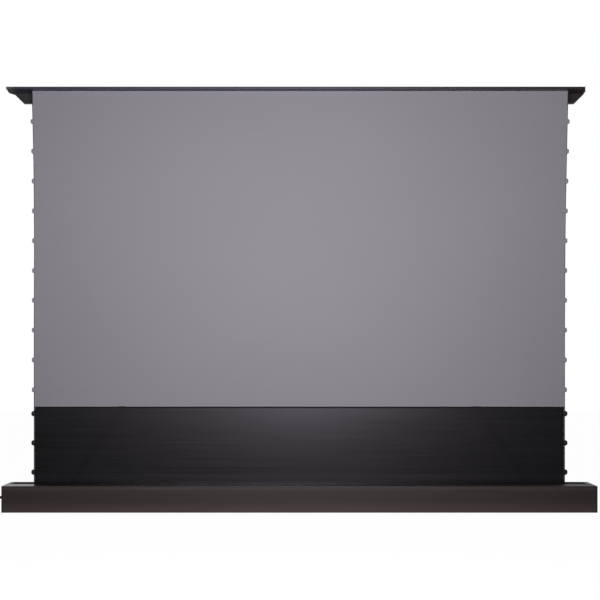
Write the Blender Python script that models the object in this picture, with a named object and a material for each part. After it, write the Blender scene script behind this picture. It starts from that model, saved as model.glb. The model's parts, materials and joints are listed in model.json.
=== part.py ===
"""Floor-rising motorised projection screen, drawn raised.

A long housing holds a roller. Two folding arms behind the fabric push a lid upwards, and the lid pulls
the fabric off the roller. Metres, +Z up. The origin is on the floor under the middle of the housing, in
the plane of the fabric. The picture side of the screen faces -Y.
"""

import math

import bmesh
import bpy
import numpy as np
from mathutils import Vector

# Driving dimensions in metres
FIT_GAP = 0.0003  # left between two pieces that touch
RUN_GAP = 0.0015  # left beside a piece that turns

# Housing
HOUSING_LENGTH = 2.431
HOUSING_DEPTH = 0.170
HOUSING_HEIGHT = 0.109
HOUSING_WALL = 0.0025
HOUSING_ROUND = 0.003
FOOT_HEIGHT = 0.003
FOOT_WIDTH = 0.040
FOOT_INSET = 0.215  # from the end of the housing to the middle of an outer foot
FOOT_MARGIN = 0.025  # from the front and rear of the housing to the foot
END_CAP_WALL = 0.0037
RIGHT_CAP_WALL = 0.0070  # the right end cap is thicker than the left one
END_SHELF_LENGTH = 0.0125  # the part of an end cap that closes the end of the opening
FRONT_PLATE_EDGE_Y = -0.0020  # front edge of the opening
REAR_LIP = 0.0115  # width of the rear lip beside the opening

# Cable gland on the left end
GLAND_RADIUS = 0.0055
GLAND_REACH = 0.0240
GLAND_Z = 0.060
GLAND_SHANK_RADIUS = 0.0045
GLAND_COLLAR = 0.0015  # how far the collar stands out past the gland's body
GLAND_COLLAR_LENGTH = 0.004
GLAND_BORE_RADIUS = 0.0035
GLAND_BORE_DEPTH = 0.014
GLAND_TIP_WALL = 0.0008
GLAND_INSIDE = 0.006

# Roller
ROLLER_RADIUS = 0.030
ROLLER_WALL = 0.0015
ROLLER_END_GAP = 0.0205  # from a roller bracket to the end of the tube
ROLLER_Z = 0.055
WRAP_THICKNESS = 0.0008
BRACKET_WALL = 0.0025
BRACKET_INSET = 0.029  # from the end of the housing to the inner face of a roller bracket
BRACKET_TOP_Z = 0.098
BRACKET_FRONT_MARGIN = 0.0025
BRACKET_REAR_Y = 0.040
BRACKET_FLANGE = 0.016  # from a bracket's outer face outwards, along the housing's floor
MOTOR_RADIUS = 0.0225
MOTOR_LENGTH = 0.520
MOTOR_HEAD_RADIUS = 0.026
MOTOR_HEAD_LENGTH = 0.016
MOTOR_COLLAR_LENGTH = 0.020
MOTOR_SHAFT_RADIUS = 0.007
MOTOR_SHAFT_LENGTH = 0.030
CROWN_WIDTH = 0.022
IDLER_PLUG_LENGTH = 0.046
IDLER_FLANGE = 0.004
IDLER_SHAFT_RADIUS = 0.006

# Fabric
FABRIC_INSET = 0.1117  # from the end of the housing to the fabric's edge, measured along X
FABRIC_FLARE = 0.0119  # how much wider each side is at the top
FLARE_START_Z = 0.955
FABRIC_THICKNESS = 0.0005
SEAM_Z = 0.436  # where the grey cloth meets the black one
ROW_HEIGHT = 0.060  # outline points of the cloth lie this far apart in height

# Tension cords and the tabs that they run through
CORD_RADIUS = 0.0015
CORD_OFFSET = 0.0030  # from the fabric's edge to the middle of the cord
TAB_REACH = 0.0135
TAB_ROOT_HEIGHT = 0.026
TAB_TIP_HEIGHT = 0.019
TAB_ROUND = 0.004
TAB_DEPTH = 0.0052
TAB_BORE_RADIUS = 0.0020
TAB_FLANGE_WIDTH = 0.010
TAB_FLANGE_WALL = 0.0012
TAB_FLANGE_HEIGHT = 0.020
UPPER_TABS = 10
UPPER_TAB_FIRST_Z = 0.505
UPPER_TAB_TOP_DROP = 0.1275  # from the lid to the middle of the topmost tab
LOWER_TABS = 3
LOWER_TAB_FIRST_Z = 0.1615
LOWER_TAB_PITCH = 0.122

# Lid
LID_UNDERSIDE_Z = 1.751
LID_HEIGHT = 0.009
LID_WALL = 0.0016
LID_FRONT_Y = -0.039
LID_REAR_Y = 0.079
LID_LEFT_INSET = 0.0285  # from the end of the housing to the end of the lid plate
LID_RIGHT_INSET = 0.0375
LEFT_CAP_FRONT = 0.0249
LEFT_CAP_SIDE = 0.0315
LEFT_CAP_REAR = 0.0130
LEFT_CAP_CORNER_Y = 0.030
RIGHT_CAP_FRONT = 0.0062
RIGHT_CAP_SIDE = 0.0205
RIGHT_CAP_REAR = 0.0120
RIGHT_CAP_CORNER_Y = 0.018
CAP_STRAIGHT_END_Y = 0.045
BEAM_FRONT_Y = 0.044
BEAM_DEPTH = 0.026
BEAM_HEIGHT = 0.0400
BEAM_WALL = 0.0015
BEAM_INSET = 0.0145  # from the end of the housing to the beam's upper corner; its ends slant evenly

# Folding arms
PIVOT_INSET = 0.2075  # from the end of the housing to the fixed pivots
BASE_PIVOT_Z = 0.037
LID_PIVOT_DROP = 0.062  # from the lid's underside to the lid pivots
ARM_LENGTH = 0.988  # between the pivots of one arm
ARM_WIDTH = 0.028
ARM_THICKNESS = 0.016
ARM_WALL = 0.002
ARM_SOLID_END = 0.034
ARM_LAYER_GAP = 0.004
UPPER_ARM_FRONT_Y = 0.032
PIN_RADIUS = 0.006
PIN_CLEARANCE = 0.0003
PIN_HEAD_RADIUS = 0.010
PIN_HEAD = 0.0027
PIN_KEEPER = 0.0014
PIN_KEEPER_RADIUS = 0.0085
STUD_PROUD = 0.0015  # how far a base stud stands out of the lower arm
BASE_PLATE_WALL = 0.005
BASE_PLATE_HALF_WIDTH = 0.022
BASE_PLATE_RISE = 0.018  # above the pivot
BASE_FLANGE_HALF_WIDTH = 0.032
BASE_FLANGE_WALL = 0.003
BASE_FLANGE_FRONT_Y = 0.050
BASE_FLANGE_REAR_Y = 0.078
LID_BRACKET_WALL = 0.004
LID_BRACKET_HALF_WIDTH = 0.028
LID_BRACKET_BELOW = 0.016  # below the pivot
LID_BRACKET_FLANGE = 0.018
LID_BRACKET_FLANGE_WALL = 0.003

ROUND_STEPS = 32

# Worked out from the dimensions above
HOUSING_HALF = HOUSING_LENGTH / 2
BRACKET_HALF_GAP = HOUSING_HALF - BRACKET_INSET
ROLLER_HALF = BRACKET_HALF_GAP - ROLLER_END_GAP
FABRIC_HALF_WIDTH = HOUSING_HALF - FABRIC_INSET
LID_LEFT_X = -(HOUSING_HALF - LID_LEFT_INSET)
LID_RIGHT_X = HOUSING_HALF - LID_RIGHT_INSET
BEAM_HALF_LENGTH = HOUSING_HALF - BEAM_INSET
PIVOT_X = HOUSING_HALF - PIVOT_INSET
HOUSING_FRONT_Y = -HOUSING_DEPTH / 2
HOUSING_REAR_Y = HOUSING_DEPTH / 2
HOUSING_BOTTOM_Z = FOOT_HEIGHT
HOUSING_TOP_Z = FOOT_HEIGHT + HOUSING_HEIGHT
FLOOR_Z = HOUSING_BOTTOM_Z + HOUSING_WALL
REAR_LIP_EDGE_Y = HOUSING_REAR_Y - REAR_LIP
WRAP_INNER_RADIUS = ROLLER_RADIUS + FIT_GAP
WRAP_OUTER_RADIUS = WRAP_INNER_RADIUS + WRAP_THICKNESS
ROLLER_Y = -(WRAP_OUTER_RADIUS + FIT_GAP + FABRIC_THICKNESS / 2)
TUBE_BORE_RADIUS = ROLLER_RADIUS - ROLLER_WALL
BRACKET_FRONT_Y = HOUSING_FRONT_Y + HOUSING_WALL + BRACKET_FRONT_MARGIN
UPPER_TAB_LAST_Z = LID_UNDERSIDE_Z - UPPER_TAB_TOP_DROP
LID_TOP_Z = LID_UNDERSIDE_Z + LID_HEIGHT
LID_PIVOT_Z = LID_UNDERSIDE_Z - LID_PIVOT_DROP
BEAM_TOP_Z = LID_UNDERSIDE_Z - FIT_GAP
BEAM_BOTTOM_Z = BEAM_TOP_Z - BEAM_HEIGHT
ARM_LEAN = math.acos((LID_PIVOT_Z - BASE_PIVOT_Z) / (2 * ARM_LENGTH))
UPPER_ARM_REAR_Y = UPPER_ARM_FRONT_Y + ARM_THICKNESS
LOWER_ARM_FRONT_Y = UPPER_ARM_REAR_Y + ARM_LAYER_GAP
LOWER_ARM_REAR_Y = LOWER_ARM_FRONT_Y + ARM_THICKNESS
PIN_BORE_RADIUS = PIN_RADIUS + PIN_CLEARANCE
BASE_PLATE_FRONT_Y = LOWER_ARM_REAR_Y + RUN_GAP
LID_BRACKET_REAR_Y = UPPER_ARM_FRONT_Y - FIT_GAP
LID_BRACKET_FRONT_Y = LID_BRACKET_REAR_Y - LID_BRACKET_WALL


# Materials and helpers


def make_material(name, colour, roughness, metallic=0.0):
    """One Principled material."""
    material = bpy.data.materials.new(name)
    material.use_nodes = True
    shader = material.node_tree.nodes["Principled BSDF"]
    shader.inputs["Base Color"].default_value = (*colour, 1.0)
    shader.inputs["Roughness"].default_value = roughness
    shader.inputs["Metallic"].default_value = metallic
    return material


def add_object(name, mesh, material, sharp_angle=math.radians(35)):
    """Puts a mesh in the scene under its node name."""
    mesh.materials.clear()
    mesh.materials.append(material)
    mesh.shade_smooth()
    mesh.set_sharp_from_angle(angle=sharp_angle)
    piece = bpy.data.objects.new(name, mesh)
    bpy.context.scene.collection.objects.link(piece)
    return piece


def mesh_from(bm, name):
    """Turns a finished bmesh into a mesh with its faces out."""
    bmesh.ops.recalc_face_normals(bm, faces=bm.faces)
    if bm.calc_volume(signed=True) < 0:
        bmesh.ops.reverse_faces(bm, faces=bm.faces)
    mesh = bpy.data.meshes.new(name)
    bm.to_mesh(mesh)
    bm.free()
    return mesh


def prism(name, outline, axis, low, high):
    """A flat outline pushed along X, Y or Z. The outline gives the two other coordinates in order."""
    bm = bmesh.new()
    corners = [bm.verts.new(Vector(point).to_3d()) for point in outline]
    face = bm.faces.new(corners)
    swept = bmesh.ops.extrude_face_region(bm, geom=[face])
    top = [item for item in swept["geom"] if isinstance(item, bmesh.types.BMVert)]
    bmesh.ops.translate(bm, vec=(0, 0, high - low), verts=top)
    order = {"X": (2, 0, 1), "Y": (0, 2, 1), "Z": (0, 1, 2)}[axis]
    for vert in bm.verts:
        flat = (vert.co.x, vert.co.y, vert.co.z + low)
        vert.co = Vector((flat[order[0]], flat[order[1]], flat[order[2]]))
    return mesh_from(bm, name)


def box(name, low, high):
    """A box from its lowest to its highest corner."""
    outline = [(low[0], low[1]), (high[0], low[1]), (high[0], high[1]), (low[0], high[1])]
    return prism(name, outline, "Z", low[2], high[2])


def turned(name, profile, axis, centre):
    """A solid turned about an axis along X or Y. The profile lists (place along the axis, radius)."""
    bm = bmesh.new()
    points = [(profile[0][0], 0.0), *profile, (profile[-1][0], 0.0)]
    verts = [bm.verts.new((radius, 0.0, along)) for along, radius in points]
    edges = [bm.edges.new(pair) for pair in zip(verts[:-1], verts[1:])]
    bmesh.ops.spin(
        bm,
        geom=verts + edges,
        cent=(0, 0, 0),
        axis=(0, 0, 1),
        angle=math.tau,
        steps=ROUND_STEPS,
        use_merge=True,
    )
    bmesh.ops.remove_doubles(bm, verts=bm.verts, dist=0.00001)
    for vert in bm.verts:
        across, up, along = vert.co
        placed = (along, across, up) if axis == "X" else (across, along, up)
        vert.co = Vector(placed) + Vector(centre)
    return mesh_from(bm, name)


def hollow_turned(name, outer_radius, inner_radius, low, high, centre):
    """A tube along X that is open at both ends."""
    tube = turned(name, [(low, outer_radius), (high, outer_radius)], "X", centre)
    past = outer_radius - inner_radius
    bore = turned(name + "_bore", [(low - past, inner_radius), (high + past, inner_radius)], "X", centre)
    return combined(tube, bore, "DIFFERENCE")


def combined(mesh, tool_mesh, operation):
    """The exact union or difference of two meshes."""
    scene_objects = bpy.context.scene.collection.objects
    base = bpy.data.objects.new("base", mesh)
    tool = bpy.data.objects.new("tool", tool_mesh)
    scene_objects.link(base)
    scene_objects.link(tool)
    boolean = base.modifiers.new("Boolean", "BOOLEAN")
    boolean.operation = operation
    boolean.solver = "EXACT"
    boolean.object = tool
    seen = base.evaluated_get(bpy.context.evaluated_depsgraph_get())
    result = bpy.data.meshes.new_from_object(seen)
    bpy.data.objects.remove(base)
    bpy.data.objects.remove(tool)
    return result


def arc(centre_u, centre_v, radius, start_degrees, end_degrees, steps=6):
    """Points along a circular arc."""
    angles = np.radians(np.linspace(start_degrees, end_degrees, steps + 1))
    return [(centre_u + radius * math.cos(a), centre_v + radius * math.sin(a)) for a in angles]


def carry(piece, pivot):
    """Hangs a piece whose mesh is in world coordinates on an unturned pivot."""
    piece.parent = pivot
    piece.location = -pivot_places[pivot.name]


# Housing


def housing_section():
    """The wall of the housing as one bent strip, in Y and Z, with the opening at the top."""
    outer, inner = HOUSING_ROUND, max(HOUSING_ROUND - HOUSING_WALL, 0.0002)
    front, rear = HOUSING_FRONT_Y, HOUSING_REAR_Y
    bottom, top = HOUSING_BOTTOM_Z, HOUSING_TOP_Z
    outside = [(FRONT_PLATE_EDGE_Y, top)]
    outside += arc(front + outer, top - outer, outer, 90, 180)
    outside += arc(front + outer, bottom + outer, outer, 180, 270)
    outside += arc(rear - outer, bottom + outer, outer, 270, 360)
    outside += arc(rear - outer, top - outer, outer, 0, 90)
    outside += [(REAR_LIP_EDGE_Y, top)]
    wall = HOUSING_WALL
    inside = [(REAR_LIP_EDGE_Y, top - wall)]
    inside += arc(rear - wall - inner, top - wall - inner, inner, 90, 0, 2)
    inside += arc(rear - wall - inner, bottom + wall + inner, inner, 360, 270, 2)
    inside += arc(front + wall + inner, bottom + wall + inner, inner, 270, 180, 2)
    inside += arc(front + wall + inner, top - wall - inner, inner, 180, 90, 2)
    inside += [(FRONT_PLATE_EDGE_Y, top - wall)]
    return outside + inside


def housing():
    mesh = prism("housing", housing_section(), "X", -HOUSING_HALF, HOUSING_HALF)
    add_object("housing", mesh, anodised_black)


def end_cap(side, name):
    """A moulded plate over the end of the housing, with a shelf that fills the end of the opening."""
    radius = HOUSING_ROUND
    front, rear = HOUSING_FRONT_Y, HOUSING_REAR_Y
    bottom, top = HOUSING_BOTTOM_Z, HOUSING_TOP_Z
    outline = arc(front + radius, top - radius, radius, 90, 180)
    outline += arc(front + radius, bottom + radius, radius, 180, 270)
    outline += arc(rear - radius, bottom + radius, radius, 270, 360)
    outline += arc(rear - radius, top - radius, radius, 0, 90)
    inner_x = HOUSING_HALF + FIT_GAP
    outer_x = inner_x + (END_CAP_WALL if side < 0 else RIGHT_CAP_WALL)
    mesh = prism(name, outline, "X", *sorted((side * inner_x, side * outer_x)))
    shelf_end = inner_x + END_CAP_WALL / 2
    shelf_x = sorted((side * (HOUSING_HALF - END_SHELF_LENGTH), side * shelf_end))
    shelf = box(
        name + "_shelf",
        (shelf_x[0], FRONT_PLATE_EDGE_Y + FIT_GAP, top - HOUSING_WALL),
        (shelf_x[1], REAR_LIP_EDGE_Y - FIT_GAP, top),
    )
    mesh = combined(mesh, shelf, "UNION")
    if side < 0:
        hole_radius = GLAND_SHANK_RADIUS + FIT_GAP
        hole = [(-outer_x - RUN_GAP, hole_radius), (-inner_x + RUN_GAP, hole_radius)]
        mesh = combined(mesh, turned("hole", hole, "X", (0, ROLLER_Y, GLAND_Z)), "DIFFERENCE")
    add_object(name, mesh, moulded_black)


def feet():
    """Three rubber strips across the underside."""
    outer_x = HOUSING_HALF - FOOT_INSET
    places = {"left_foot": -outer_x, "middle_foot": 0.0, "right_foot": outer_x}
    for name, x in places.items():
        low = (x - FOOT_WIDTH / 2, HOUSING_FRONT_Y + FOOT_MARGIN, 0.0)
        high = (x + FOOT_WIDTH / 2, HOUSING_REAR_Y - FOOT_MARGIN, FOOT_HEIGHT - FIT_GAP)
        add_object(name, box(name, low, high), rubber)


def power_inlet():
    """The gland that the supply lead goes in by, on the left end cap."""
    face_x = -(HOUSING_HALF + FIT_GAP + END_CAP_WALL + FIT_GAP)
    tip_x = face_x - GLAND_REACH
    collar_x = face_x - GLAND_COLLAR_LENGTH
    profile = [
        (tip_x, GLAND_BORE_RADIUS + GLAND_TIP_WALL),
        (tip_x + GLAND_COLLAR_LENGTH, GLAND_RADIUS),
        (collar_x, GLAND_RADIUS),
        (collar_x, GLAND_RADIUS + GLAND_COLLAR),
        (face_x, GLAND_RADIUS + GLAND_COLLAR),
        (face_x, GLAND_SHANK_RADIUS),
        (face_x + GLAND_INSIDE + END_CAP_WALL, GLAND_SHANK_RADIUS),
    ]
    centre = (0, ROLLER_Y, GLAND_Z)
    mesh = turned("power_inlet", profile, "X", centre)
    bore = [(tip_x - RUN_GAP, GLAND_BORE_RADIUS), (tip_x + GLAND_BORE_DEPTH, GLAND_BORE_RADIUS)]
    mesh = combined(mesh, turned("bore", bore, "X", centre), "DIFFERENCE")
    add_object("power_inlet", mesh, rubber)


# Roller


def roller_bracket(side, name):
    """A plate across the housing that carries one end of the roller."""
    inner_x, outer_x = BRACKET_HALF_GAP, BRACKET_HALF_GAP + BRACKET_WALL
    bottom = FLOOR_Z + FIT_GAP
    plate_x = sorted((side * inner_x, side * outer_x))
    mesh = box(name, (plate_x[0], BRACKET_FRONT_Y, bottom), (plate_x[1], BRACKET_REAR_Y, BRACKET_TOP_Z))
    flange_x = sorted((side * (inner_x + BRACKET_WALL / 2), side * (outer_x + BRACKET_FLANGE)))
    flange = box(
        name + "_flange",
        (flange_x[0], BRACKET_FRONT_Y, bottom),
        (flange_x[1], BRACKET_REAR_Y, bottom + BRACKET_WALL),
    )
    mesh = combined(mesh, flange, "UNION")
    if side > 0:
        radius = IDLER_SHAFT_RADIUS + FIT_GAP
        hole = [(inner_x - RUN_GAP, radius), (outer_x + RUN_GAP, radius)]
        mesh = combined(mesh, turned("hole", hole, "X", (0, ROLLER_Y, ROLLER_Z)), "DIFFERENCE")
    add_object(name, mesh, zinc_steel)


def motor():
    """A tubular motor inside the left end of the roller, fixed to its bracket."""
    head_x = -BRACKET_HALF_GAP + FIT_GAP
    tube_x = -ROLLER_HALF
    collar_radius = TUBE_BORE_RADIUS - FIT_GAP
    body_end = tube_x + MOTOR_LENGTH
    profile = [
        (head_x, MOTOR_HEAD_RADIUS),
        (head_x + MOTOR_HEAD_LENGTH, MOTOR_HEAD_RADIUS),
        (tube_x, collar_radius),
        (tube_x + MOTOR_COLLAR_LENGTH, collar_radius),
        (tube_x + MOTOR_COLLAR_LENGTH, MOTOR_RADIUS),
        (body_end, MOTOR_RADIUS),
        (body_end, MOTOR_SHAFT_RADIUS),
        (body_end + MOTOR_SHAFT_LENGTH, MOTOR_SHAFT_RADIUS),
    ]
    add_object("motor", turned("motor", profile, "X", (0, ROLLER_Y, ROLLER_Z)), moulded_black)


def roller(pivot):
    """The tube, the turns of fabric on it, the motor's drive crown and the plug at the free end."""
    centre = (0, ROLLER_Y, ROLLER_Z)
    tube = hollow_turned("roller_tube", ROLLER_RADIUS, TUBE_BORE_RADIUS, -ROLLER_HALF, ROLLER_HALF, centre)
    carry(add_object("roller_tube", tube, plain_aluminium), pivot)
    reach = edge_x(ROLLER_Z)
    wraps = hollow_turned("fabric_wraps", WRAP_OUTER_RADIUS, WRAP_INNER_RADIUS, -reach, reach, centre)
    carry(add_object("fabric_wraps", wraps, black_cloth), pivot)
    crown_x = -ROLLER_HALF + MOTOR_LENGTH + (MOTOR_SHAFT_LENGTH - CROWN_WIDTH) / 2
    crown = hollow_turned(
        "drive_crown",
        TUBE_BORE_RADIUS - FIT_GAP,
        MOTOR_SHAFT_RADIUS + FIT_GAP,
        crown_x,
        crown_x + CROWN_WIDTH,
        centre,
    )
    carry(add_object("drive_crown", crown, moulded_black), pivot)
    flange_x = ROLLER_HALF + FIT_GAP
    plug = [
        (ROLLER_HALF - IDLER_PLUG_LENGTH, TUBE_BORE_RADIUS - FIT_GAP),
        (flange_x, TUBE_BORE_RADIUS - FIT_GAP),
        (flange_x, ROLLER_RADIUS),
        (flange_x + IDLER_FLANGE, ROLLER_RADIUS),
        (flange_x + IDLER_FLANGE, IDLER_SHAFT_RADIUS),
        (BRACKET_HALF_GAP + BRACKET_WALL + RUN_GAP, IDLER_SHAFT_RADIUS),
    ]
    carry(add_object("idler_plug", turned("idler_plug", plug, "X", centre), moulded_black), pivot)


# Fabric, cords and tabs


def edge_x(z):
    """Half the width of the fabric at a height: wider by a square curve towards the top."""
    top_share = max(0.0, (z - FLARE_START_Z) / (LID_UNDERSIDE_Z - FLARE_START_Z))
    return FABRIC_HALF_WIDTH + FABRIC_FLARE * top_share**2


def edge_slope(z):
    """How fast the edge runs outwards with height."""
    step = ROW_HEIGHT / 100
    return (edge_x(z + step) - edge_x(z - step)) / (2 * step)


def heights(low, high):
    """Evenly spaced heights for the outline of a cloth or a cord."""
    rows = max(1, round((high - low) / ROW_HEIGHT))
    return np.linspace(low, high, rows + 1)


def cloth(name, low, high, material):
    """A flat sheet in the plane of the screen."""
    rows = [float(z) for z in heights(low, high)]
    outline = [(edge_x(z), z) for z in rows] + [(-edge_x(z), z) for z in reversed(rows)]
    mesh = prism(name, outline, "Y", -FABRIC_THICKNESS / 2, FABRIC_THICKNESS / 2)
    add_object(name, mesh, material)


def tension_cord(side, name):
    """A thin cord beside the fabric's edge, from the roller to the lid."""
    curve = bpy.data.curves.new(name, "CURVE")
    curve.dimensions = "3D"
    curve.bevel_depth = CORD_RADIUS
    curve.bevel_resolution = 2
    curve.use_fill_caps = True
    curve.materials.append(cord_black)
    rows = heights(ROLLER_Z, LID_UNDERSIDE_Z - FIT_GAP)
    spline = curve.splines.new("POLY")
    spline.points.add(len(rows) - 1)
    for point, z in zip(spline.points, rows):
        point.co = (side * (edge_x(z) + CORD_OFFSET), 0.0, z, 1.0)
    cord = bpy.data.objects.new(name, curve)
    bpy.context.scene.collection.objects.link(cord)


def tab_mesh():
    """A tab that hooks round the cord and lies on the back of the cloth, drawn at the cloth's edge."""
    root, tip, radius = TAB_ROOT_HEIGHT / 2, TAB_TIP_HEIGHT / 2, TAB_ROUND
    outline = [(FIT_GAP, -root)]
    outline += arc(TAB_REACH - radius, -tip + radius, radius, -80, 0, 5)
    outline += arc(TAB_REACH - radius, tip - radius, radius, 0, 80, 5)
    outline += [(FIT_GAP, root)]
    mesh = prism("tab", outline, "Y", -TAB_DEPTH / 2, TAB_DEPTH / 2)
    back = FABRIC_THICKNESS / 2 + FIT_GAP
    flange = box(
        "tab_flange",
        (-TAB_FLANGE_WIDTH, back, -TAB_FLANGE_HEIGHT / 2),
        (FIT_GAP * 4, back + TAB_FLANGE_WALL, TAB_FLANGE_HEIGHT / 2),
    )
    mesh = combined(mesh, flange, "UNION")
    bore = bmesh.new()
    bmesh.ops.create_cone(
        bore,
        cap_ends=True,
        segments=ROUND_STEPS // 2,
        radius1=TAB_BORE_RADIUS,
        radius2=TAB_BORE_RADIUS,
        depth=TAB_ROOT_HEIGHT * 2,
    )
    bmesh.ops.translate(bore, vec=(CORD_OFFSET, 0, 0), verts=bore.verts)
    return combined(mesh, mesh_from(bore, "bore"), "DIFFERENCE")


def tabs():
    """Tabs down both edges; each side shares its meshes, and the right side is turned over."""
    tab_heights = [(LOWER_TAB_FIRST_Z + i * LOWER_TAB_PITCH, black_cloth) for i in range(LOWER_TABS)]
    upper_heights = np.linspace(UPPER_TAB_FIRST_Z, UPPER_TAB_LAST_Z, UPPER_TABS)
    tab_heights += [(float(z), grey_cloth) for z in upper_heights]
    plain = tab_mesh()
    meshes = {black_cloth.name: plain, grey_cloth.name: plain.copy()}
    for side, side_name in ((-1, "left"), (1, "right")):
        for number, (z, material) in enumerate(tab_heights, start=1):
            tab = add_object(f"tab_{side_name}_{number:02d}", meshes[material.name], material)
            lean = math.atan(edge_slope(z))
            tab.location = (side * edge_x(z), 0.0, z)
            tab.rotation_euler = (0.0, lean, 0.0) if side > 0 else (0.0, math.pi - lean, 0.0)


# Lid


def lid_plate(pivot):
    """A flat hollow extrusion, open at its ends, where the caps go."""
    low = (LID_LEFT_X, LID_FRONT_Y, LID_UNDERSIDE_Z)
    mesh = box("lid_plate", low, (LID_RIGHT_X, LID_REAR_Y, LID_TOP_Z))
    hollow = box(
        "hollow",
        (LID_LEFT_X - LID_WALL, LID_FRONT_Y + LID_WALL, LID_UNDERSIDE_Z + LID_WALL),
        (LID_RIGHT_X + LID_WALL, LID_REAR_Y - LID_WALL, LID_TOP_Z - LID_WALL),
    )
    carry(add_object("lid_plate", combined(mesh, hollow, "DIFFERENCE"), anodised_black), pivot)


def lid_cap(name, root_x, reaches, corner_y, pivot):
    """A cap on one end of the lid; its outer edge slants in plan towards the front and the rear."""
    front, side, rear = reaches
    outline = [
        (root_x, LID_FRONT_Y),
        (root_x + front, LID_FRONT_Y),
        (root_x + side, corner_y),
        (root_x + side, CAP_STRAIGHT_END_Y),
        (root_x + rear, LID_REAR_Y),
        (root_x, LID_REAR_Y),
    ]
    carry(add_object(name, prism(name, outline, "Z", LID_UNDERSIDE_Z, LID_TOP_Z), moulded_black), pivot)


def lid_beam(pivot):
    """The stiff tube under the lid; its slanting ends lead it into the housing."""
    top, bottom = BEAM_HALF_LENGTH, BEAM_HALF_LENGTH - BEAM_HEIGHT
    outline = [(-top, BEAM_TOP_Z), (-bottom, BEAM_BOTTOM_Z), (bottom, BEAM_BOTTOM_Z), (top, BEAM_TOP_Z)]
    mesh = prism("lid_beam", outline, "Y", BEAM_FRONT_Y, BEAM_FRONT_Y + BEAM_DEPTH)
    hollow = box(
        "hollow",
        (-top - BEAM_WALL, BEAM_FRONT_Y + BEAM_WALL, BEAM_BOTTOM_Z + BEAM_WALL),
        (top + BEAM_WALL, BEAM_FRONT_Y + BEAM_DEPTH - BEAM_WALL, BEAM_TOP_Z - BEAM_WALL),
    )
    carry(add_object("lid_beam", combined(mesh, hollow, "DIFFERENCE"), anodised_black), pivot)


def lid_bracket(side, side_name, pivot):
    """An angle under the lid, in front of the upper arm, with the pin that the arm turns on."""
    name = side_name + "_lid_bracket"
    x = side * PIVOT_X
    top = LID_UNDERSIDE_Z - FIT_GAP
    half = LID_BRACKET_HALF_WIDTH
    mesh = box(
        name,
        (x - half, LID_BRACKET_FRONT_Y, LID_PIVOT_Z - LID_BRACKET_BELOW),
        (x + half, LID_BRACKET_REAR_Y, top),
    )
    flange = box(
        "flange",
        (x - half, LID_BRACKET_FRONT_Y - LID_BRACKET_FLANGE, top - LID_BRACKET_FLANGE_WALL),
        (x + half, LID_BRACKET_FRONT_Y + LID_BRACKET_WALL / 2, top),
    )
    mesh = combined(mesh, flange, "UNION")
    centre = (x, 0, LID_PIVOT_Z)
    hole_ends = (LID_BRACKET_FRONT_Y - RUN_GAP, LID_BRACKET_REAR_Y + RUN_GAP)
    hole = [(y, PIN_BORE_RADIUS) for y in hole_ends]
    mesh = combined(mesh, turned("hole", hole, "Y", centre), "DIFFERENCE")
    carry(add_object(name, mesh, zinc_steel), pivot)
    head_y = LID_BRACKET_FRONT_Y - FIT_GAP
    keeper_y = UPPER_ARM_REAR_Y + FIT_GAP
    profile = [
        (head_y - PIN_HEAD, PIN_HEAD_RADIUS),
        (head_y, PIN_HEAD_RADIUS),
        (head_y, PIN_RADIUS),
        (keeper_y, PIN_RADIUS),
        (keeper_y, PIN_KEEPER_RADIUS),
        (keeper_y + PIN_KEEPER, PIN_KEEPER_RADIUS),
    ]
    pin_name = side_name + "_lid_pin"
    carry(add_object(pin_name, turned(pin_name, profile, "Y", centre), bright_steel), pivot)


# Folding arms


def arm_mesh(name, front_y):
    """A channel with round solid ends, drawn upwards from its lower pivot and open to the front."""
    radius = ARM_WIDTH / 2
    outline = arc(0, 0, radius, 180, 360, 12) + arc(0, ARM_LENGTH, radius, 0, 180, 12)
    mesh = prism(name, outline, "Y", front_y, front_y + ARM_THICKNESS)
    trough = box(
        "trough",
        (ARM_WALL - radius, front_y - ARM_WALL, ARM_SOLID_END),
        (radius - ARM_WALL, front_y + ARM_THICKNESS - ARM_WALL, ARM_LENGTH - ARM_SOLID_END),
    )
    mesh = combined(mesh, trough, "DIFFERENCE")
    bore_ends = (front_y - RUN_GAP, front_y + ARM_THICKNESS + RUN_GAP)
    for end_z in (0.0, ARM_LENGTH):
        bore = [(y, PIN_BORE_RADIUS) for y in bore_ends]
        mesh = combined(mesh, turned("bore", bore, "Y", (0, 0, end_z)), "DIFFERENCE")
    return mesh


def elbow_pin_mesh(name):
    """The pin between the two arms of one side, with a spacer collar between them."""
    profile = [
        (UPPER_ARM_FRONT_Y - FIT_GAP - PIN_HEAD, PIN_HEAD_RADIUS),
        (UPPER_ARM_FRONT_Y - FIT_GAP, PIN_HEAD_RADIUS),
        (UPPER_ARM_FRONT_Y - FIT_GAP, PIN_RADIUS),
        (UPPER_ARM_REAR_Y + FIT_GAP, PIN_RADIUS),
        (UPPER_ARM_REAR_Y + FIT_GAP, PIN_HEAD_RADIUS),
        (LOWER_ARM_FRONT_Y - FIT_GAP, PIN_HEAD_RADIUS),
        (LOWER_ARM_FRONT_Y - FIT_GAP, PIN_RADIUS),
        (LOWER_ARM_REAR_Y + FIT_GAP, PIN_RADIUS),
        (LOWER_ARM_REAR_Y + FIT_GAP, PIN_HEAD_RADIUS),
        (LOWER_ARM_REAR_Y + FIT_GAP + PIN_HEAD, PIN_HEAD_RADIUS),
    ]
    return turned(name, profile, "Y", (0, 0, 0))


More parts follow.
